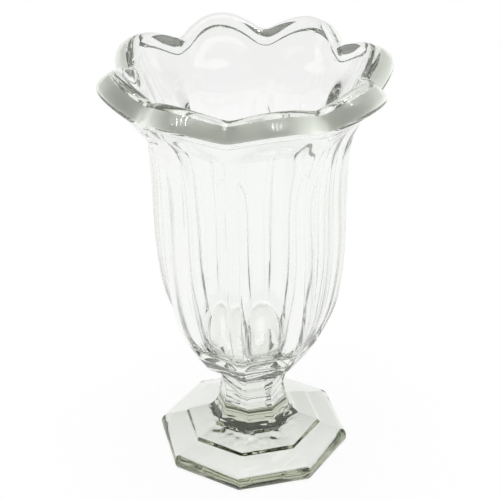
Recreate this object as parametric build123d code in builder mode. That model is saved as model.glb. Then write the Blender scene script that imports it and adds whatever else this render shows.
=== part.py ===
"""Footed pressed-glass vase: eight fluted panels that open into an eight-petalled rim.

Millimetres, +Z up. The origin is the middle of the ring that the foot stands on.
Panels face +X, +Y and the directions between. The eight ribs stand midway between the panels.
The vase is three pressings joined hot, so each seats on the next face to face: foot, stem, bowl.
Radii are to the corners of the octagon, or to the face of a rib, unless a name says otherwise.
"""
from build123d import *
from math import cos, hypot, radians, sin
import os

os.makedirs("parts", exist_ok=True)

# Eight-sided plan, shared by all three pressings.
panel_count = 8
panel_angle = 360 / panel_count
half_panel_angle = panel_angle / 2
corner_to_flat_share = cos(radians(half_panel_angle))

# The two hot joints, with the stem between them.
foot_joint_height = 25.3
stem_length = 15.7
bowl_joint_height = foot_joint_height + stem_length
foot_joint_radius = 15.6
bowl_joint_radius = 16.9

# Foot: a rounded edge, a low shoulder, a small step, a raised field and a sweep up to the stem.
# The outer points keep their distance from the base's edge, the inner ones theirs from the joint.
foot_base_radius = 42.4
foot_edge_reach = 1.6
foot_edge_radius = foot_base_radius + foot_edge_reach
foot_edge_height = 3.4
foot_brow_setback = 1.4
foot_brow_radius = foot_base_radius - foot_brow_setback
foot_brow_height = 7.5
shoulder_setback = 10.8
shoulder_radius = foot_base_radius - shoulder_setback
shoulder_height = 10.6
step_setback = 11.8
step_radius = foot_base_radius - step_setback
step_height = 11.8
field_reach = 5.8
field_radius = foot_joint_radius + field_reach
field_height = 15.2
sweep_middle_reach = 1.0
sweep_middle_radius = foot_joint_radius + sweep_middle_reach
sweep_middle_height = 20.0
foot_corner_rounding = 2.0

# Round hollow under the foot, which leaves an eight-sided standing ring.
ring_width = 5.0
hollow_radius = foot_base_radius - ring_width
hollow_depth = 3.2

# Stem: two short tapers that meet at the waist.
waist_radius = 14.5
waist_rise = 6.4
waist_height = foot_joint_height + waist_rise

# Bowl, collar and bulb: radii up a rib's face, and how deep each panel is fluted between the ribs.
# The bowl's sizes called a rise are measured up from its joint.
rib_half_angle = 3.2
collar_base_radius = 24.4
collar_base_rise = 6.3
collar_base_height = bowl_joint_height + collar_base_rise
collar_top_radius = 29.2
collar_top_rise = 14.0
collar_top_height = bowl_joint_height + collar_top_rise
bulb_radius = 42.8
bulb_top_rise = 107.0
bulb_top_height = bowl_joint_height + bulb_top_rise
flute_depth = 1.6
bulb_rise_shares = (0.091, 0.215, 0.376, 0.677, 1)
bulb_radius_shares = (0.778, 0.886, 0.951, 0.984, 1)
flute_depth_shares = (0.75, 1, 1, 1, 0.85)

# Lip: its widest line at a rib, and how far out and up the middle of a petal stands from there.
lip_radius = 54.6
lip_edge_rise = 136.3
lip_height = bowl_joint_height + lip_edge_rise
petal_reach = 7.8
petal_rise = 6.5
valley_softness_share = 0.25

# Lip's own outline, from its widest line as shares of the way in over the lip and up to its crest:
# under-edge, widest line, foot and head of the sloping face, crest, inner edge.
# After that, the shares of the petal's reach and rise that each of them gains at mid-petal.
lip_width = 9.2
lip_thickness = 7.0
lip_width_shares = (0.141, 0, 0.087, 0.478, 0.717, 1)
lip_thickness_shares = (-0.386, 0, 0.271, 0.843, 1, 0.843)
lip_reach_shares = (0.974, 1, 1, 0.808, 0.731, 0.667)
lip_rise_shares = (1.015, 1, 0.969, 0.877, 0.877, 0.862)

# Flare between bulb and lip, as shares of the way out and up between the two, and the same gains.
flare_out_shares = (0.178, 0.466, 0.729)
flare_up_shares = (0.375, 0.614, 0.792)
flare_reach_shares = (-0.436, -0.308, 0.436)
flare_rise_shares = (0, 0.123, 0.677)

# Inside: a dome where the plunger's tip was, in the middle of the floor, and a round bore up to the
# bulb's top, as shares of the bore's radius and of the rise from the floor. Then the throat, as the
# flare is, from bore to inner edge.
floor_radius = 20.0
floor_above_collar = 1.5
floor_height = collar_top_height + floor_above_collar
dome_radius = 19.6
dome_height = 13.0
crown_height = floor_height + dome_height
bore_radius = 35.6
bore_rise_shares = (0.028, 0.114, 0.341, 0.682, 1)
bore_radius_shares = (0.70, 0.815, 0.949, 0.989, 1)
throat_out_shares = (0.17, 0.596)
throat_up_shares = (0.369, 0.71)
throat_reach_shares = (0.038, 0.333)
throat_rise_shares = (0, 0.154)

# The wall is made round a solid core with the dome on it, and overlaps both.
wall_start_radius = 9.0
core_overlap = 1.0

# Upright sections that shape each panel from rib to rib.
panel_section_count = 7


def swell_at(turn):
    """Share of the way from rib to petal: 0 on the rib, 1 at mid-panel, with a softened valley."""
    wave = sin(radians(turn) * panel_count / 2)
    soft = valley_softness_share
    return (hypot(wave, soft) - soft) / (hypot(1, soft) - soft)


def chord_share(turn):
    """Radius of the flat-sided plan at a turn from the rib, as a share of the rib edge's radius."""
    from_rib = min(turn, panel_angle - turn)
    if from_rib < rib_half_angle:
        return cos(radians(rib_half_angle)) / cos(radians(from_rib))
    half_flute_angle = half_panel_angle - rib_half_angle
    return cos(radians(half_flute_angle)) / cos(radians(turn - half_panel_angle))


def hollow_share(turn):
    """Depth of the flute at a turn from the rib, as a share of its depth at mid-panel."""
    half_flute_angle = half_panel_angle - rib_half_angle
    across = abs(turn - half_panel_angle) / half_flute_angle
    return max(0, 1 - across**2)


def stepped(start, end, out_shares, up_shares):
    """Points whose shares of the way out and up lie between the start and the end."""
    (start_radius, start_height), (end_radius, end_height) = start, end
    run = end_radius - start_radius
    rise = end_height - start_height
    return [(start_radius + out * run, start_height + up * rise) for out, up in zip(out_shares, up_shares)]


def swelled(points, reach_shares, rise_shares, turn):
    """The rib's points, moved by their shares of the petal's reach and rise at a turn."""
    reach = petal_reach * swell_at(turn)
    rise = petal_rise * swell_at(turn)
    rows = zip(points, reach_shares, rise_shares)
    return [(radius + out * reach, height + up * rise) for (radius, height), out, up in rows]


def draw_wall(turn):
    """Outline of the bowl's wall on the upright plane at a turn from the rib."""
    chord = chord_share(turn)
    hollow = flute_depth * hollow_share(turn)
    bulb_top = (bulb_radius, bulb_top_height)
    bulb_at_rib = stepped((0, collar_top_height), bulb_top, bulb_radius_shares, bulb_rise_shares)
    bulb_rows = zip(bulb_at_rib, flute_depth_shares)
    bulb = [(radius * chord - depth * hollow, height) for (radius, height), depth in bulb_rows]
    lip_edge = (lip_radius, lip_height)
    lip_crest = (lip_radius - lip_width, lip_height + lip_thickness)
    lip_at_rib = stepped(lip_edge, lip_crest, lip_width_shares, lip_thickness_shares)
    lip = swelled(lip_at_rib, lip_reach_shares, lip_rise_shares, turn)
    under_edge, widest, face_foot, face_head, crest, inner_edge = lip
    flare_at_rib = stepped(bulb_top, lip_edge, flare_out_shares, flare_up_shares)
    flare = swelled(flare_at_rib, flare_reach_shares, flare_rise_shares, turn)
    bore_top = (bore_radius, bulb_top_height)
    bore = stepped((0, floor_height), bore_top, bore_radius_shares, bore_rise_shares)
    throat_at_rib = stepped(bore_top, lip_at_rib[-1], throat_out_shares, throat_up_shares)
    throat = swelled(throat_at_rib, throat_reach_shares, throat_rise_shares, turn)
    floor_start = (wall_start_radius, floor_height)
    floor_edge = (floor_radius, floor_height)
    seat_start = (wall_start_radius, bowl_joint_height)
    seat_edge = (bowl_joint_radius * chord, bowl_joint_height)
    collar_base = (collar_base_radius * chord, collar_base_height)
    collar_top = (collar_top_radius * chord, collar_top_height)
    Polyline(floor_edge, floor_start, seat_start, seat_edge, collar_base, collar_top)
    Spline(collar_top, *bulb, *flare, under_edge)
    ThreePointArc(under_edge, widest, face_foot)
    Line(face_foot, face_head)
    ThreePointArc(face_head, crest, inner_edge)
    Spline(floor_edge, *bore, *throat, inner_edge)


def loft_walls(turns, flat_sided):
    """Solid lofted through the wall's outlines on the upright planes at these turns."""
    walls = []
    for turn in turns:
        with BuildSketch(Plane.XZ.rotated((0, 0, turn - half_panel_angle)), mode=Mode.PRIVATE) as wall:
            with BuildLine() as outline:
                draw_wall(turn)
            make_face(outline.edges())
        walls.append(wall.sketch)
    loft(walls, ruled=flat_sided)


def cross_slabs(draw_half_outline):
    """Eight-sided solid, made where four slabs of one outline cross."""
    for side in range(panel_count // 2):
        with BuildSketch(Plane.XZ.rotated((0, 0, side * panel_angle)), mode=Mode.PRIVATE) as slab:
            with BuildLine() as outline:
                draw_half_outline()
                mirror(about=Plane.YZ)
            make_face(outline.edges())
        extrude(slab.sketch, amount=foot_edge_radius, both=True, mode=Mode.INTERSECT if side else Mode.ADD)


def on_flat(radius, height):
    """Point of a side's outline, square to the flat side, from a radius to the corners."""
    return (radius * corner_to_flat_share, height)


def draw_foot():
    """Right half of the foot's outline, from the table's middle to the foot joint's middle."""
    Line((0, 0), on_flat(foot_base_radius, 0))
    ThreePointArc(
        on_flat(foot_base_radius, 0),
        on_flat(foot_edge_radius, foot_edge_height),
        on_flat(foot_brow_radius, foot_brow_height),
    )
    Polyline(
        on_flat(foot_brow_radius, foot_brow_height),
        on_flat(shoulder_radius, shoulder_height),
        on_flat(step_radius, step_height),
        on_flat(field_radius, field_height),
    )
    ThreePointArc(
        on_flat(field_radius, field_height),
        on_flat(sweep_middle_radius, sweep_middle_height),
        on_flat(foot_joint_radius, foot_joint_height),
    )
    Line(on_flat(foot_joint_radius, foot_joint_height), (0, foot_joint_height))


def draw_stem():
    """Right half of the stem's outline, from joint to joint."""
    Polyline(
        (0, foot_joint_height),
        on_flat(foot_joint_radius, foot_joint_height),
        on_flat(waist_radius, waist_height),
        on_flat(bowl_joint_radius, bowl_joint_height),
        (0, bowl_joint_height),
    )


with BuildPart() as foot:
    cross_slabs(draw_foot)
    upright_corners = foot.edges().filter_by_position(Axis.Z, 0, foot_brow_height, inclusive=(False, False))
    fillet(upright_corners, radius=foot_corner_rounding)
    with BuildSketch(Plane.XZ):
        with BuildLine():
            ThreePointArc((-hollow_radius, 0), (0, hollow_depth), (hollow_radius, 0))
            Line((-hollow_radius, 0), (hollow_radius, 0))
        make_face()
        split(bisect_by=Plane.YZ)
    revolve(axis=Axis.Z, mode=Mode.SUBTRACT)

with BuildPart() as stem:
    cross_slabs(draw_stem)

with BuildPart() as petal:
    panel_span = panel_angle - 2 * rib_half_angle
    panel_shares = [i / (panel_section_count - 1) for i in range(panel_section_count)]
    loft_walls([0, rib_half_angle], flat_sided=True)
    loft_walls([rib_half_angle + panel_span * share for share in panel_shares], flat_sided=False)
    loft_walls([panel_angle - rib_half_angle, panel_angle], flat_sided=True)

with BuildPart() as bowl:
    with PolarLocations(0, panel_count):
        add(petal.part)
    with BuildSketch(Plane.XZ):
        with BuildLine():
            dome_foot = floor_height - core_overlap
            core_radius = wall_start_radius + core_overlap
            ThreePointArc((-dome_radius, dome_foot), (0, crown_height), (dome_radius, dome_foot))
            Polyline(
                (dome_radius, dome_foot),
                (core_radius, bowl_joint_height),
                (-core_radius, bowl_joint_height),
                (-dome_radius, dome_foot),
            )
        make_face()
        split(bisect_by=Plane.YZ)
    revolve(axis=Axis.Z)

foot.part.label = "foot"
stem.part.label = "stem"
bowl.part.label = "bowl"
export_step(foot.part, "parts/foot.step")
export_step(stem.part, "parts/stem.step")
export_step(bowl.part, "parts/bowl.step")
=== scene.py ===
"""Looks of the footed pressed-glass vase: three pressings of clear glass, joined hot.

Sizes are in millimetres and are turned to metres as the shapes are made. They are the part's own,
but for the flutes, which are deeper and squarer here, and for what moulding and fire polishing
add: the ledge under the lip, the crown of its face and the softened ridges. Each pressing is an
outline spun about the vase's axis, whose points are then moved to the eight-sided plan, the
flutes and the petals.
"""
from math import atan, atan2, cos, degrees, hypot, pi, radians, sin, sqrt, tan

import bmesh
import bpy
import numpy as np
from mathutils import Matrix, Vector


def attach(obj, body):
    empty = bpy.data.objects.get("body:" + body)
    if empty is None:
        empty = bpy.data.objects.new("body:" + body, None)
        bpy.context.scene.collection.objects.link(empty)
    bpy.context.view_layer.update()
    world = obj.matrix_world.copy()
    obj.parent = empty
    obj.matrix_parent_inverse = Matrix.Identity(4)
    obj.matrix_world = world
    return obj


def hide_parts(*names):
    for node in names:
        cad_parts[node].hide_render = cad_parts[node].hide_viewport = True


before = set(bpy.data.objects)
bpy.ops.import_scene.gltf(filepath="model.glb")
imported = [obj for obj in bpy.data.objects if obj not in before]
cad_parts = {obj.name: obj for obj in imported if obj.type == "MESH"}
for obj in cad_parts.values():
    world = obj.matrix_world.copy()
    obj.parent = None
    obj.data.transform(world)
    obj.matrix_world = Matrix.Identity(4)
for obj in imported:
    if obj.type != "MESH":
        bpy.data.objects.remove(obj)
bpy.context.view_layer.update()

MM = 0.001

# Sizes, as in the part's source.

PANEL_COUNT = 8
PANEL_ANGLE = 360 / PANEL_COUNT
HALF_PANEL = PANEL_ANGLE / 2

FOOT_JOINT_HEIGHT = 25.3
BOWL_JOINT_HEIGHT = 41.0
FOOT_JOINT_RADIUS = 15.6
BOWL_JOINT_RADIUS = 16.9

FOOT_BASE_RADIUS = 42.4
FOOT_EDGE_RADIUS, FOOT_EDGE_HEIGHT = 44.0, 3.4
FOOT_BROW_RADIUS, FOOT_BROW_HEIGHT = 41.0, 7.5
SHOULDER_RADIUS, SHOULDER_HEIGHT = 31.6, 10.6
STEP_RADIUS, STEP_HEIGHT = 30.6, 11.8
FIELD_RADIUS, FIELD_HEIGHT = 21.4, 15.2
SWEEP_RADIUS, SWEEP_HEIGHT = 16.6, 20.0
HOLLOW_RADIUS, HOLLOW_DEPTH = 37.4, 3.2
HOLLOW_OUT_SHARE, HOLLOW_UP_SHARE = 0.5, 0.752

WAIST_RADIUS, WAIST_HEIGHT = 14.5, 31.7

RIB_HALF_ANGLE = 3.2
COLLAR_BASE_RADIUS, COLLAR_BASE_HEIGHT = 24.4, 47.3
COLLAR_TOP_RADIUS, COLLAR_TOP_HEIGHT = 29.2, 55.0
BULB_RADIUS, BULB_TOP_HEIGHT = 42.8, 148.0
# The part's flutes are 1.6 deep. These are deeper, for lines as strong as the real glass shows.
FLUTE_DEPTH = 2.0
BULB_RISE_SHARES = (0.091, 0.215, 0.376, 0.677, 1)
BULB_RADIUS_SHARES = (0.778, 0.886, 0.951, 0.984, 1)
FLUTE_DEPTH_SHARES = (0.75, 1, 1, 1, 0.85)

LIP_RADIUS, LIP_HEIGHT = 54.6, 177.3
PETAL_REACH, PETAL_RISE = 7.8, 6.5
VALLEY_SOFTNESS_SHARE = 0.25
LIP_WIDTH, LIP_THICKNESS = 9.2, 7.0
LIP_WIDTH_SHARES = (0.141, 0, 0.087, 0.478, 0.717, 1)
LIP_THICKNESS_SHARES = (-0.386, 0, 0.271, 0.843, 1, 0.843)
LIP_REACH_SHARES = (0.974, 1, 1, 0.808, 0.731, 0.667)
LIP_RISE_SHARES = (1.015, 1, 0.969, 0.877, 0.877, 0.862)
FLARE_OUT_SHARES = (0.178, 0.466, 0.729)
FLARE_UP_SHARES = (0.375, 0.614, 0.792)
FLARE_REACH_SHARES = (-0.436, -0.308, 0.436)
FLARE_RISE_SHARES = (0, 0.123, 0.677)

FLOOR_RADIUS, FLOOR_HEIGHT = 20.0, 56.5
DOME_RADIUS, CROWN_HEIGHT = 19.6, 69.5
CORE_OVERLAP = 1.0
BORE_RADIUS = 35.6
BORE_RISE_SHARES = (0.028, 0.114, 0.341, 0.682, 1)
BORE_RADIUS_SHARES = (0.70, 0.815, 0.949, 0.989, 1)
THROAT_OUT_SHARES = (0.17, 0.596)
THROAT_UP_SHARES = (0.369, 0.71)
THROAT_REACH_SHARES = (0.038, 0.333)
THROAT_RISE_SHARES = (0, 0.154)

# Two pressings stop this far short of the plane they meet on, so that no two faces share a place.
JOINT_GAP = 0.01

# Points nearer than this are one. Heights that agree to this many digits are level.
MERGE_DISTANCE = 0.001
LEVEL_DIGITS = 3

# Fire polishing softens what the mould left sharp. A small ledge is left under the lip, where the
# mould closes.
RIDGE_SOFTNESS = 0.9
FOOT_RIDGE_SOFTNESS = 0.5
FIELD_SOFTNESS = 0.7
LEDGE_WIDTH, VALLEY_LEDGE_WIDTH = 1.8, 0.6
LEDGE_DROP, LEDGE_SOFTNESS = 0.2, 0.25
LIP_FACE_CROWN = 0.3
CORNER_ROUNDING = 1.6
FOOT_CORNER_ROUNDING = 2.0

# Steps along each stretch of the bowl's outline, from the seat up the outside, over the lip and down
# to the dome.
OUTSIDE_STEPS = (7, 4, 5, 9, 9, 5, 4, 4, 3)
UNDER_STEPS = 6
FACE_STEPS = 6
CREST_STEPS = 8
INSIDE_STEPS = (5, 5, 5, 7, 7, 6, 4, 4)
DOME_STEPS = 32

# Steps along the foot's outline, and round each softened corner.
HOLLOW_STEPS = 14
EDGE_STEPS = 14
SWEEP_STEPS = 10
SOFTENED_STEPS = 4
SOFTENED_POINTS = SOFTENED_STEPS + 1

# Places along the bowl's outline of the lip's face, which has its own material from the lip's
# widest line up to its crest. They are counted from the seat, with its three points and two
# softened corners.
SEAT_POINTS = 3 + 2 * SOFTENED_POINTS
LIP_FACE_END = SEAT_POINTS + sum(OUTSIDE_STEPS) + SOFTENED_POINTS + UNDER_STEPS + FACE_STEPS
LIP_FACE_STATIONS = range(LIP_FACE_END - FACE_STEPS - UNDER_STEPS // 2, LIP_FACE_END)

# Where the points of each pressing stand round a panel, in degrees from the rib.
BOWL_TURNS = (0.0, 0.9, 1.8, 2.5, 2.9, 3.3, 3.8, 4.6, 5.6, 6.8, 8.2, 9.8, 11.5, 13.3, 15.1, 16.9, 18.7, 20.6)
FOOT_TURNS = (0.0, 0.35, 0.7, 1.05, 1.5, 2.2, 3.4, 5.2, 8.0, 11.0, 14.0, 18.0)


# Outlines.


def both_ways(turns):
    """The same places from the next rib back, and the middle of the panel between them."""
    return [*turns, HALF_PANEL, *(PANEL_ANGLE - turn for turn in reversed(turns[1:]))]


def smooth_line(points, counts):
    """Cubic line of even curvature through the points, with a count of steps for each gap."""
    knots = np.array(points, float)
    gaps = np.hypot(*np.diff(knots, axis=0).T)
    size = len(knots)
    rows = np.eye(size)
    sides = np.zeros((size, 2))
    for i in range(1, size - 1):
        rows[i, i - 1:i + 2] = gaps[i - 1], 2 * (gaps[i - 1] + gaps[i]), gaps[i]
        sides[i] = 6 * ((knots[i + 1] - knots[i]) / gaps[i] - (knots[i] - knots[i - 1]) / gaps[i - 1])
    bends = np.linalg.solve(rows, sides)
    line = [tuple(knots[0])]
    for i, count in enumerate(counts):
        for step in range(1, count + 1):
            b = step / count
            a = 1 - b
            cubic = ((a**3 - a) * bends[i] + (b**3 - b) * bends[i + 1]) * gaps[i] ** 2 / 6
            line.append(tuple(a * knots[i] + b * knots[i + 1] + cubic))
    return line


def arc_line(start, middle, end, count):
    """Points after the start, along the circle through three points."""
    (ax, ay), (bx, by), (cx, cy) = start, middle, end
    spread = 2 * (ax * (by - cy) + bx * (cy - ay) + cx * (ay - by))
    a2, b2, c2 = ax * ax + ay * ay, bx * bx + by * by, cx * cx + cy * cy
    ux = (a2 * (by - cy) + b2 * (cy - ay) + c2 * (ay - by)) / spread
    uy = (a2 * (cx - bx) + b2 * (ax - cx) + c2 * (bx - ax)) / spread
    radius = hypot(ax - ux, ay - uy)
    first = atan2(ay - uy, ax - ux)
    swept = (atan2(cy - uy, cx - ux) - first) % (2 * pi)
    passed = (atan2(by - uy, bx - ux) - first) % (2 * pi)
    if passed > swept:
        swept -= 2 * pi
    angles = [first + swept * step / count for step in range(1, count + 1)]
    return [(ux + radius * cos(angle), uy + radius * sin(angle)) for angle in angles]


def softened(before, corner, after, reach):
    """Points round a corner that the fire has softened, from one side of it to the other."""
    before, corner, after = Vector(before), Vector(corner), Vector(after)
    start = corner + (before - corner).normalized() * reach
    end = corner + (after - corner).normalized() * reach
    shares = [step / SOFTENED_STEPS for step in range(SOFTENED_POINTS)]
    return [tuple(start * (1 - t) ** 2 + corner * 2 * t * (1 - t) + end * t**2) for t in shares]


def octagon_share(turn, radius, rounding):
    """Radius of an eight-sided plan with rounded corners at a turn, as a share of the corner's."""
    from_flat = radians(abs((turn % PANEL_ANGLE) - HALF_PANEL))
    half = radians(HALF_PANEL)
    flat = radius * cos(half)
    centre = (flat - rounding) / cos(half)
    if from_flat < atan((flat - rounding) * tan(half) / flat):
        return flat / cos(from_flat) / radius
    from_corner = half - from_flat
    return (centre * cos(from_corner) + sqrt(rounding**2 - (centre * sin(from_corner)) ** 2)) / radius


def swell_at(turn):
    """Share of the way from rib to petal: 0 on the rib, 1 at mid-panel, with a softened valley."""
    wave = abs(sin(radians(turn) * PANEL_COUNT / 2))
    soft = VALLEY_SOFTNESS_SHARE
    return (hypot(wave, soft) - soft) / (hypot(1, soft) - soft)


def chord_share(turn):
    """Radius of the bowl's flat-sided plan at a turn from the rib, as a share of the rib edge's."""
    from_rib = min(turn, PANEL_ANGLE - turn)
    if from_rib < RIB_HALF_ANGLE:
        return cos(radians(RIB_HALF_ANGLE)) / cos(radians(from_rib))
    return cos(radians(HALF_PANEL - RIB_HALF_ANGLE)) / cos(radians(turn - HALF_PANEL))


def hollow_share(turn):
    """Depth of the flute at a turn from the rib, as a share of its depth at mid-panel."""
    across = abs(turn - HALF_PANEL) / (HALF_PANEL - RIB_HALF_ANGLE)
    return max(0, 1 - across**4)


def stepped(start, end, out_shares, up_shares):
    """Points whose shares of the way out and up lie between the start and the end."""
    (start_radius, start_height), (end_radius, end_height) = start, end
    run = end_radius - start_radius
    rise = end_height - start_height
    return [(start_radius + out * run, start_height + up * rise) for out, up in zip(out_shares, up_shares)]


def crowned(start, end, rise):
    """The point half way from the start to the end, moved by a rise to the right of the way."""
    out, up = end[0] - start[0], end[1] - start[1]
    length = hypot(out, up)
    return (start[0] + out / 2 + rise * up / length, start[1] + up / 2 - rise * out / length)


def swelled(points, reach_shares, rise_shares, turn):
    """The rib's points, moved by their shares of the petal's reach and rise at a turn."""
    reach = PETAL_REACH * swell_at(turn)
    rise = PETAL_RISE * swell_at(turn)
    rows = zip(points, reach_shares, rise_shares)
    return [(radius + out * reach, height + up * rise) for (radius, height), out, up in rows]


def bowl_outline(turn):
    """The bowl's wall on the upright plane at a turn, from under its seat over the lip to its floor."""
    chord = chord_share(turn)
    hollow = FLUTE_DEPTH * hollow_share(turn)
    seat_height = BOWL_JOINT_HEIGHT + JOINT_GAP
    seat = BOWL_JOINT_RADIUS * octagon_share(turn, BOWL_JOINT_RADIUS, CORNER_ROUNDING)
    collar_base = (COLLAR_BASE_RADIUS * chord, COLLAR_BASE_HEIGHT)
    collar_top = (COLLAR_TOP_RADIUS * chord, COLLAR_TOP_HEIGHT)
    bulb_top = (BULB_RADIUS, BULB_TOP_HEIGHT)
    bulb_at_rib = stepped((0, COLLAR_TOP_HEIGHT), bulb_top, BULB_RADIUS_SHARES, BULB_RISE_SHARES)
    bulb_rows = zip(bulb_at_rib, FLUTE_DEPTH_SHARES)
    bulb = [(radius * chord - depth * hollow, height) for (radius, height), depth in bulb_rows]
    lip_edge = (LIP_RADIUS, LIP_HEIGHT)
    lip_crest = (LIP_RADIUS - LIP_WIDTH, LIP_HEIGHT + LIP_THICKNESS)
    lip_at_rib = stepped(lip_edge, lip_crest, LIP_WIDTH_SHARES, LIP_THICKNESS_SHARES)
    lip = swelled(lip_at_rib, LIP_REACH_SHARES, LIP_RISE_SHARES, turn)
    under_edge, widest, face_foot, face_head, crest, inner_edge = lip
    flare_at_rib = stepped(bulb_top, lip_edge, FLARE_OUT_SHARES, FLARE_UP_SHARES)
    flare = swelled(flare_at_rib, FLARE_REACH_SHARES, FLARE_RISE_SHARES, turn)
    ledge_width = VALLEY_LEDGE_WIDTH + (LEDGE_WIDTH - VALLEY_LEDGE_WIDTH) * swell_at(turn)
    ledge = (under_edge[0] - ledge_width, under_edge[1] - LEDGE_DROP)
    outside = smooth_line([collar_top, *bulb, *flare, ledge], OUTSIDE_STEPS)
    bore_top = (BORE_RADIUS, BULB_TOP_HEIGHT)
    bore = stepped((0, FLOOR_HEIGHT), bore_top, BORE_RADIUS_SHARES, BORE_RISE_SHARES)
    throat_at_rib = stepped(bore_top, lip_at_rib[-1], THROAT_OUT_SHARES, THROAT_UP_SHARES)
    throat = swelled(throat_at_rib, THROAT_REACH_SHARES, THROAT_RISE_SHARES, turn)
    floor_edge = (FLOOR_RADIUS, FLOOR_HEIGHT)
    inside = smooth_line([inner_edge, *reversed(throat), *reversed(bore), floor_edge], INSIDE_STEPS)
    dome_foot = FLOOR_HEIGHT - CORE_OVERLAP
    crown = (0, CROWN_HEIGHT)
    dome = arc_line((DOME_RADIUS, dome_foot), crown, (-DOME_RADIUS, dome_foot), DOME_STEPS)
    near_side = dome[:DOME_STEPS // 2 - 1]
    return [
        (0, seat_height),
        (seat / 2, seat_height),
        (seat, seat_height),
        *softened((seat, seat_height), collar_base, collar_top, RIDGE_SOFTNESS),
        *softened(collar_base, collar_top, outside[1], RIDGE_SOFTNESS),
        *outside[1:-1],
        *softened(outside[-2], ledge, under_edge, LEDGE_SOFTNESS),
        under_edge,
        *arc_line(under_edge, widest, face_foot, UNDER_STEPS),
        *arc_line(face_foot, crowned(face_foot, face_head, LIP_FACE_CROWN), face_head, FACE_STEPS),
        *arc_line(face_head, crest, inner_edge, CREST_STEPS),
        *inside[1:],
        *(point for point in near_side if point[1] > FLOOR_HEIGHT),
        crown,
    ]


def stem_outline(turn):
    """The stem's outline on the upright plane at a turn, from joint to joint."""
    foot_face = FOOT_JOINT_HEIGHT + JOINT_GAP
    bowl_face = BOWL_JOINT_HEIGHT - JOINT_GAP
    rows = ((FOOT_JOINT_RADIUS, foot_face), (WAIST_RADIUS, WAIST_HEIGHT), (BOWL_JOINT_RADIUS, bowl_face))
    ends = [(radius * octagon_share(turn, radius, CORNER_ROUNDING), height) for radius, height in rows]
    low, waist, high = ends
    return [
        (0, foot_face),
        (low[0] / 2, foot_face),
        low,
        *softened(low, waist, high, RIDGE_SOFTNESS),
        high,
        (high[0] / 2, bowl_face),
        (0, bowl_face),
    ]


def foot_outline(turn):
    """The foot's outline on the upright plane at a turn, from the hollow beneath to the joint."""

    def at(radius, height, rounding=FOOT_CORNER_ROUNDING):
        return (radius * octagon_share(turn, radius, rounding), height)

    base = at(FOOT_BASE_RADIUS, 0)
    edge = at(FOOT_EDGE_RADIUS, FOOT_EDGE_HEIGHT)
    brow = at(FOOT_BROW_RADIUS, FOOT_BROW_HEIGHT)
    shoulder = at(SHOULDER_RADIUS, SHOULDER_HEIGHT)
    step = at(STEP_RADIUS, STEP_HEIGHT)
    field = at(FIELD_RADIUS, FIELD_HEIGHT)
    sweep = at(SWEEP_RADIUS, SWEEP_HEIGHT, CORNER_ROUNDING)
    joint_face = FOOT_JOINT_HEIGHT - JOINT_GAP
    top = at(FOOT_JOINT_RADIUS, joint_face, CORNER_ROUNDING)
    hollow_top = (0, HOLLOW_DEPTH)
    hollow_middle = (HOLLOW_RADIUS * HOLLOW_OUT_SHARE, HOLLOW_DEPTH * HOLLOW_UP_SHARE)
    hollow_edge = (HOLLOW_RADIUS, 0)
    hollow = arc_line(hollow_top, hollow_middle, hollow_edge, HOLLOW_STEPS)
    sweep_line = arc_line(field, sweep, top, SWEEP_STEPS)
    return [
        hollow_top,
        *hollow[:-1],
        *softened(hollow[-2], hollow_edge, base, FOOT_RIDGE_SOFTNESS),
        base,
        *arc_line(base, edge, brow, EDGE_STEPS),
        *softened(brow, shoulder, step, FOOT_RIDGE_SOFTNESS),
        *softened(shoulder, step, field, FOOT_RIDGE_SOFTNESS),
        *softened(step, field, sweep_line[0], FIELD_SOFTNESS),
        *sweep_line,
        (top[0] / 2, joint_face),
        (0, joint_face),
    ]


# Making a pressing.


# Where a pressing's materials stand in its list: the clear glass is first.
JOINT_PLACE = 1
LIP_FACE_PLACE = 2


def pressing(name, node, outline, turns, joint_heights, glasses, face_stations=()):
    """One pressing: an outline spun about the axis, then moved to the plan of its panels."""
    bm = bmesh.new()
    station = bm.verts.layers.int.new("station")
    wire = []
    for place, (radius, height) in enumerate(outline(HALF_PANEL)):
        vert = bm.verts.new((radius * MM, 0, height * MM))
        vert[station] = place
        wire.append(vert)
    edges = [bm.edges.new(pair) for pair in zip(wire, wire[1:])]
    per_panel = len(turns)
    bmesh.ops.spin(
        bm, geom=wire + edges, cent=(0, 0, 0), axis=(0, 0, 1), dvec=(0, 0, 0),
        angle=2 * pi, steps=PANEL_COUNT * per_panel, use_merge=True, use_normal_flip=False,
        use_duplicate=False,
    )
    outlines = [outline(turn) for turn in turns]
    middle = per_panel // 2
    for vert in bm.verts:
        if vert.co.xy.length > 0:
            count = round(degrees(atan2(vert.co.y, vert.co.x)) / 360 * PANEL_COUNT * per_panel) + middle
            panel, place = divmod(count, per_panel)
            angle = radians(panel * PANEL_ANGLE + turns[place] - HALF_PANEL)
            radius, height = outlines[place][vert[station]]
            vert.co = Vector((radius * cos(angle), radius * sin(angle), height)) * MM
    bmesh.ops.remove_doubles(bm, verts=bm.verts, dist=MERGE_DISTANCE * MM)
    bmesh.ops.recalc_face_normals(bm, faces=bm.faces)
    for face in bm.faces:
        face.smooth = True
        if all(vert[station] in face_stations for vert in face.verts):
            face.material_index = LIP_FACE_PLACE
        level = {round(vert.co.z / MM, LEVEL_DIGITS) for vert in face.verts}
        if len(level) == 1 and min(abs(min(level) - height) for height in joint_heights) < 2 * JOINT_GAP:
            face.material_index = JOINT_PLACE
            face.smooth = False
    mesh = bpy.data.meshes.new(name)
    bm.to_mesh(mesh)
    bm.free()
    for glass in glasses:
        mesh.materials.append(glass)
    piece = bpy.data.objects.new(name, mesh)
    bpy.context.scene.collection.objects.link(piece)
    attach(piece, "root")
    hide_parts(node)
    return piece


# Materials.


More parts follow.
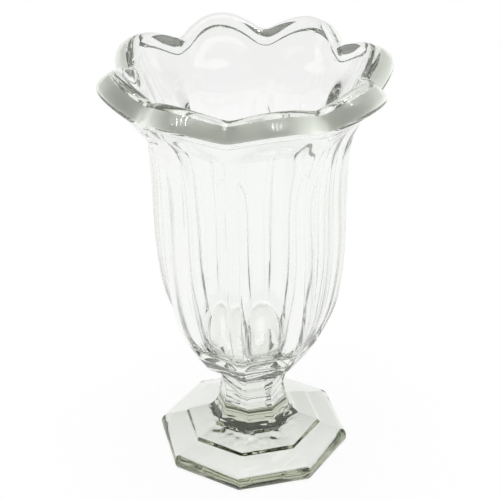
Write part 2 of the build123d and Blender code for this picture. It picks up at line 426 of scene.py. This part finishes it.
def linear(hex_colour):
    """An sRGB hex colour as linear red, green, blue and alpha."""
    parts = [int(hex_colour[i:i + 2], 16) / 255 for i in (1, 3, 5)]
    return [c / 12.92 if c <= 0.04045 else ((c + 0.055) / 1.055) ** 2.4 for c in parts] + [1.0]


def add_node(tree, kind, links=(), **settings):
    """A node with its settings; a setting named like an input sets that input, and links join inputs."""
    node = tree.nodes.new(kind)
    for key, value in settings.items():
        if key in node.inputs:
            node.inputs[key].default_value = value
        else:
            setattr(node, key, value)
    for name, source in dict(links).items():
        tree.links.new(source, node.inputs[name])
    return node


def new_tree(owner):
    """The emptied node tree of a material or world."""
    owner.use_nodes = True
    owner.node_tree.nodes.clear()
    return owner.node_tree


GLASS_COLOUR, GLASS_IOR = "#FDFEFD", 1.52
DEPTH_COLOUR, THIN_DENSITY, THICK_DENSITY = "#E0E3D6", 6.0, 32.0
# The lip face's milky grey colour is painted reflection of the grey surroundings that its polished face
# shows; its roughness and gloss are the face's own.
LIP_PAINTED_REFLECTION_COLOUR, LIP_ROUGHNESS, LIP_CLEARNESS = "#D6DAD2", 0.5, 0.4
POLISH_WEIGHT, POLISH_ROUGHNESS = 1.0, 0.03

# The mould's slow ripple is about 17 mm from wave to wave. The foot's middle has waves of about
# 8 mm, which are full within a share of the radius where they begin.
RIPPLES_PER_METRE, RIPPLE_HEIGHT, RIPPLE_STRENGTH = 60.0, 0.4, 0.15
WAVES_PER_METRE, WAVE_HEIGHT, WAVES_FULL_SHARE = 130.0, 0.9, 0.7
PATTERN_DETAIL = 1.0


def pressed_glass(name, density, waved_radius=0):
    """Soda-lime glass, pressed and fire polished: clear, with a slow ripple and a tint in its depth."""
    material = bpy.data.materials.new(name)
    tree = new_tree(material)
    place = add_node(tree, "ShaderNodeTexCoord")
    ripple = add_node(tree, "ShaderNodeTexNoise", {"Vector": place.outputs["Object"]},
                      Scale=RIPPLES_PER_METRE, Detail=PATTERN_DETAIL)
    bump = add_node(tree, "ShaderNodeBump", {"Height": ripple.outputs["Fac"]},
                    Strength=RIPPLE_STRENGTH, Distance=RIPPLE_HEIGHT * MM)
    if waved_radius:
        reach = add_node(tree, "ShaderNodeVectorMath", operation="LENGTH")
        tree.links.new(place.outputs["Object"], reach.inputs[0])
        near = add_node(tree, "ShaderNodeMapRange", {"Value": reach.outputs["Value"]},
                        **{"From Min": waved_radius * MM, "From Max": WAVES_FULL_SHARE * waved_radius * MM})
        waves = add_node(tree, "ShaderNodeTexNoise", {"Vector": place.outputs["Object"]},
                         Scale=WAVES_PER_METRE, Detail=PATTERN_DETAIL)
        bump = add_node(tree, "ShaderNodeBump",
                        {"Height": waves.outputs["Fac"], "Strength": near.outputs[0],
                         "Normal": bump.outputs["Normal"]}, Distance=WAVE_HEIGHT * MM)
    glass = add_node(tree, "ShaderNodeBsdfPrincipled", {"Normal": bump.outputs["Normal"]},
                     **{"Base Color": linear(GLASS_COLOUR), "Roughness": 0.0, "IOR": GLASS_IOR,
                        "Transmission Weight": 1.0})
    depth = add_node(tree, "ShaderNodeVolumeAbsorption", Color=linear(DEPTH_COLOUR), Density=density)
    add_node(tree, "ShaderNodeOutputMaterial", {"Surface": glass.outputs[0], "Volume": depth.outputs[0]})
    return material


def hot_joint():
    """Glass fused to glass: nothing is left to see where two pressings meet."""
    material = bpy.data.materials.new("fused_glass_joint")
    tree = new_tree(material)
    glass = add_node(tree, "ShaderNodeBsdfPrincipled", Alpha=0.0)
    add_node(tree, "ShaderNodeOutputMaterial", {"Surface": glass.outputs[0]})
    return material


def lip_face():
    """The lip's face, lightly fire polished under a gloss and partly clear, with a rough milky grey that is
    painted reflection: it stands in for the grey surroundings that the polished face shows.
    """
    material = bpy.data.materials.new("lip_face_painted_reflection")
    tree = new_tree(material)
    face = add_node(tree, "ShaderNodeBsdfPrincipled",
                    **{"Base Color": linear(LIP_PAINTED_REFLECTION_COLOUR), "Roughness": LIP_ROUGHNESS, "IOR": GLASS_IOR,
                       "Transmission Weight": LIP_CLEARNESS, "Coat Weight": POLISH_WEIGHT,
                       "Coat Roughness": POLISH_ROUGHNESS})
    depth = add_node(tree, "ShaderNodeVolumeAbsorption", Color=linear(DEPTH_COLOUR), Density=THIN_DENSITY)
    add_node(tree, "ShaderNodeOutputMaterial", {"Surface": face.outputs[0], "Volume": depth.outputs[0]})
    return material


# The three pressings. Bowl and stem are of one glass, and the foot's is deeper in tint.


glasses = [pressed_glass("pressed_soda_lime_glass", THIN_DENSITY), hot_joint(), lip_face()]
foot_glasses = [pressed_glass("pressed_foot_glass", THICK_DENSITY, FIELD_RADIUS), *glasses[1:]]
bowl_turns = both_ways(BOWL_TURNS)
foot_turns = both_ways(FOOT_TURNS)
bowl_joints = [BOWL_JOINT_HEIGHT]
foot_joints = [FOOT_JOINT_HEIGHT]
bowl = pressing("bowl_glass", "bowl", bowl_outline, bowl_turns, bowl_joints, glasses, LIP_FACE_STATIONS)
pressing("stem_glass", "stem", stem_outline, foot_turns, foot_joints + bowl_joints, glasses)
pressing("foot_glass", "foot", foot_outline, foot_turns, foot_joints, foot_glasses)


# Studio. Its floor and lamps are in metres.


FLOOR_REACH, FLOOR_SIDES, FLOOR_DROP = 4.0, 64, 0.02 * MM
PAPER_COLOUR = "#787878"
FLOOR_GLOW, FLOOR_GLOW_SEEN = 0.88, 0.915

# How bright the tent is, by the height of the direction in which it is seen, from 0 at the horizon
# to 1 overhead: white low down, dark at the sides, bright at the top.
TENT_LEVELS = ((0.16, 1.0), (0.24, 0.12), (0.90, 0.12), (0.93, 2.0))

LAMP_DISTANCE = 2.0
TUBE_ASIDES = (-0.28, 0, 0.28)
TUBE_AZIMUTH, TUBE_ELEVATION = -104, 79
TUBE_SIZE, TUBE_STRENGTH = (0.03, 0.7), 3.0
WINDOW_AZIMUTHS = (0, 140)
WINDOW_ELEVATION = 5
WINDOW_SIZE, WINDOW_STRENGTH = (1.2, 1.2), 110

# The colour inputs and the colour output of a Mix node.
MIX_FIRST, MIX_SECOND, MIX_RESULT = 6, 7, 2


def studio_floor():
    """Seamless paper that glows: white to the eye and nearly so through glass, with a soft shadow."""
    bm = bmesh.new()
    bmesh.ops.create_circle(bm, cap_ends=True, segments=FLOOR_SIDES, radius=FLOOR_REACH)
    bmesh.ops.translate(bm, verts=bm.verts, vec=(0, 0, -FLOOR_DROP))
    mesh = bpy.data.meshes.new("studio_floor")
    bm.to_mesh(mesh)
    bm.free()
    floor = bpy.data.objects.new("studio_floor", mesh)
    bpy.context.scene.collection.objects.link(floor)
    material = bpy.data.materials.new("white_paper_floor")
    tree = new_tree(material)
    paper = add_node(tree, "ShaderNodeBsdfDiffuse", Color=linear(PAPER_COLOUR))
    rays = add_node(tree, "ShaderNodeLightPath")
    level = add_node(tree, "ShaderNodeMapRange", {"Value": rays.outputs["Is Camera Ray"]})
    level.inputs["To Min"].default_value = FLOOR_GLOW
    level.inputs["To Max"].default_value = FLOOR_GLOW_SEEN
    glow = add_node(tree, "ShaderNodeEmission", {"Strength": level.outputs[0]})
    both = add_node(tree, "ShaderNodeAddShader")
    tree.links.new(paper.outputs[0], both.inputs[0])
    tree.links.new(glow.outputs[0], both.inputs[1])
    add_node(tree, "ShaderNodeOutputMaterial", {"Surface": both.outputs[0]})
    mesh.materials.append(material)


def studio_light():
    """White tent: the eye sees white all round, and glass mirrors the tent's darker parts."""
    world = bpy.data.worlds.new("studio")
    bpy.context.scene.world = world
    tree = new_tree(world)
    rays = add_node(tree, "ShaderNodeLightPath")
    place = add_node(tree, "ShaderNodeTexCoord")
    axes = add_node(tree, "ShaderNodeSeparateXYZ", {"Vector": place.outputs["Generated"]})
    tent = add_node(tree, "ShaderNodeValToRGB", {"Fac": axes.outputs["Z"]})
    stops = tent.color_ramp.elements
    for stop, (position, level) in zip(stops, TENT_LEVELS[:2]):
        stop.position = position
        stop.color = (level, level, level, 1)
    for position, level in TENT_LEVELS[2:]:
        stop = stops.new(position)
        stop.color = (level, level, level, 1)
    mixed = add_node(tree, "ShaderNodeMix", data_type="RGBA")
    tree.links.new(rays.outputs["Is Camera Ray"], mixed.inputs["Factor"])
    tree.links.new(tent.outputs["Color"], mixed.inputs[MIX_FIRST])
    mixed.inputs[MIX_SECOND].default_value = linear("#FFFFFF")
    back = add_node(tree, "ShaderNodeBackground", {"Color": mixed.outputs[MIX_RESULT]}, Strength=1.0)
    add_node(tree, "ShaderNodeOutputWorld", {"Surface": back.outputs[0]})


def area_lamp(name, azimuth, elevation, aside, size, strength):
    """A lamp at the lamps' distance from the vase and turned to it. Its size is across and along."""
    lamp = bpy.data.lights.new(name, "AREA")
    lamp.shape = "RECTANGLE"
    lamp.size, lamp.size_y = size
    lamp.energy = strength
    turned, raised = radians(azimuth), radians(elevation)
    away = Vector((cos(turned) * cos(raised), sin(turned) * cos(raised), sin(raised)))
    facing = away.to_track_quat("Z", "Y").to_matrix().to_4x4()
    holder = bpy.data.objects.new(name, lamp)
    stand = Matrix.Translation(away * LAMP_DISTANCE)
    holder.matrix_world = stand @ facing @ Matrix.Translation((aside, 0, 0))
    bpy.context.scene.collection.objects.link(holder)
    return holder


studio_floor()
studio_light()

# Three overhead tubes are mirrored as the small bright dashes on the lip and light nothing else.
for aside in TUBE_ASIDES:
    tube = area_lamp("tube_lamp", TUBE_AZIMUTH, TUBE_ELEVATION, aside, TUBE_SIZE, TUBE_STRENGTH)
    tube.visible_diffuse = tube.visible_transmission = False

# Two soft side windows light the lip's face, whose milky grey is painted reflection. They aren't mirrored,
# and they light the bowl alone, so that the floor keeps its tone.
window_lit = bpy.data.collections.new("window_lit")
window_lit.objects.link(bowl)
for azimuth in WINDOW_AZIMUTHS:
    window = area_lamp("side_window", azimuth, WINDOW_ELEVATION, 0, WINDOW_SIZE, WINDOW_STRENGTH)
    window.visible_glossy = window.visible_transmission = False
    window.light_linking.receiver_collection = window_lit

# Light passes many faces of clear glass, so it is followed through many of them.
GLASS_BOUNCES, MIRROR_BOUNCES = 32, 16
scene = bpy.context.scene
scene.view_settings.view_transform = "Standard"
scene.cycles.max_bounces = GLASS_BOUNCES
scene.cycles.transmission_bounces = GLASS_BOUNCES
scene.cycles.glossy_bounces = MIRROR_BOUNCES
scene.cycles.transparent_max_bounces = GLASS_BOUNCES


# Camera.


# The photograph looks down from the front, a little from the left.
AZIMUTH, ELEVATION, ROLL = -13.1, 30.0, -1.02
AIM_HEIGHT, DISTANCE = 99.88, 668.36
LENS, SENSOR = 109.8, 36.0
turned, raised, rolled = radians(AZIMUTH), radians(ELEVATION), radians(ROLL)
back = Vector((sin(turned) * cos(raised), -cos(turned) * cos(raised), sin(raised)))
right = (-back).cross(Vector((0, 0, 1))).normalized()
up = right.cross(-back)
across = right * cos(rolled) + up * sin(rolled)
upward = up * cos(rolled) - right * sin(rolled)
eye = (Vector((0, 0, AIM_HEIGHT)) + back * DISTANCE) * MM
camera_data = bpy.data.cameras.new("camera")
camera_data.lens, camera_data.sensor_width = LENS, SENSOR
camera = bpy.data.objects.new("camera", camera_data)
camera.matrix_world = Matrix.Translation(eye) @ Matrix((across, upward, back)).transposed().to_4x4()
scene.collection.objects.link(camera)
scene.camera = camera
